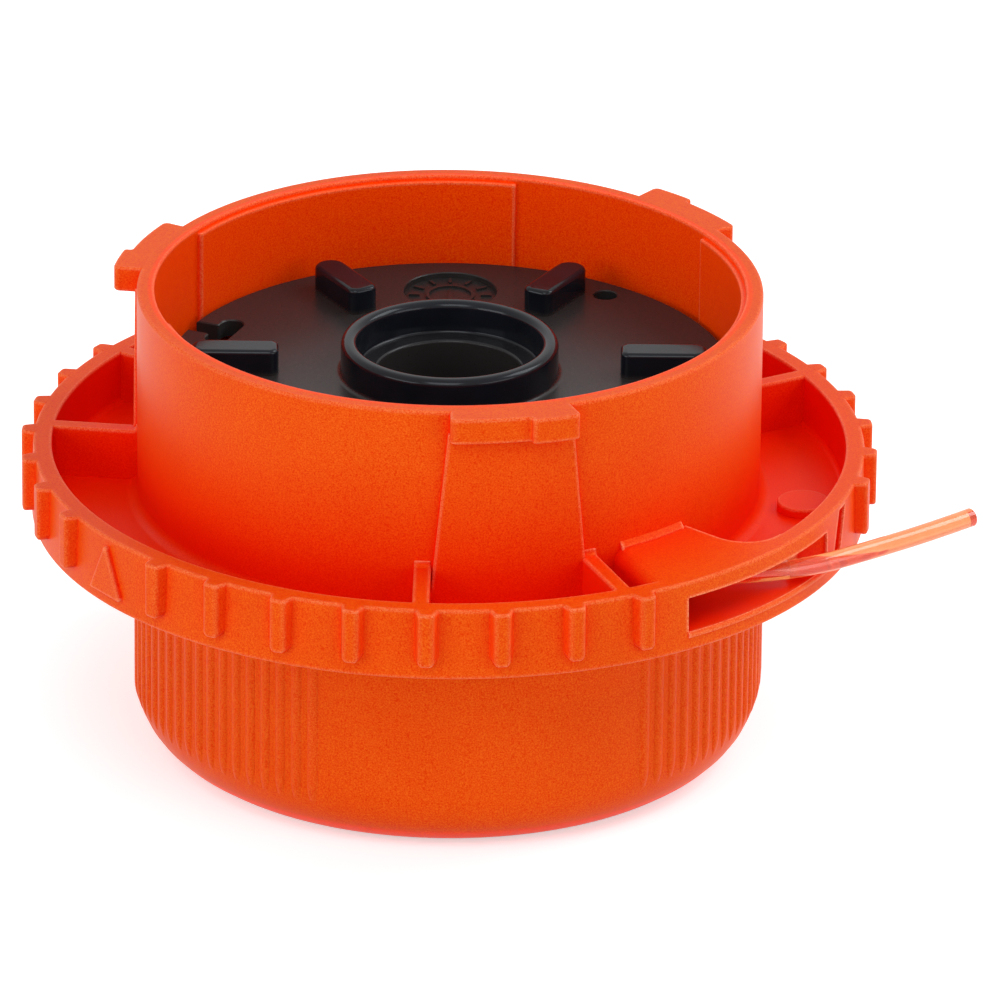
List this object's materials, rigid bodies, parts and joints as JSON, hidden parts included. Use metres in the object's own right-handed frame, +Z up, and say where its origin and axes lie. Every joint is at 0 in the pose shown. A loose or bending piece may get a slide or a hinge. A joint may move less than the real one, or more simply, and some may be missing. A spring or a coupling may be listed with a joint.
{
  "type": "trimmer line spool",
  "caption": "Round trimmer line cassette: ribbed cup with a grip flange and bayonet collar, a reel with drive dogs turning inside it, and line leaving through a slot in the flange.",
  "frame": {"origin": "on the reel's axis, at the underside of the cup", "axes": "+Z up along the reel's axis, out of the open collar; -Y to the front, with the line leaving at the front right (+X, -Y)"},
  "size_m": [0.1203, 0.108, 0.0605],
  "materials": {
    "housing_plastic": "satin moulded plastic with a fine grain",
    "reel_plastic": "glossy black moulded plastic",
    "line": "clear orange drawn monofilament"
  },
  "bodies": {
    "housing": {"housing": "housing_plastic", "line_tail": "line"},
    "spool": {"spool": "reel_plastic", "line_winding": "line"}
  },
  "joints": [
    {"name": "spool_spin", "type": "hinge", "parent": "housing", "child": "spool", "pos_m": [0, 0, 0], "axis": [0, 0, 1], "continuous": true}
  ]
}
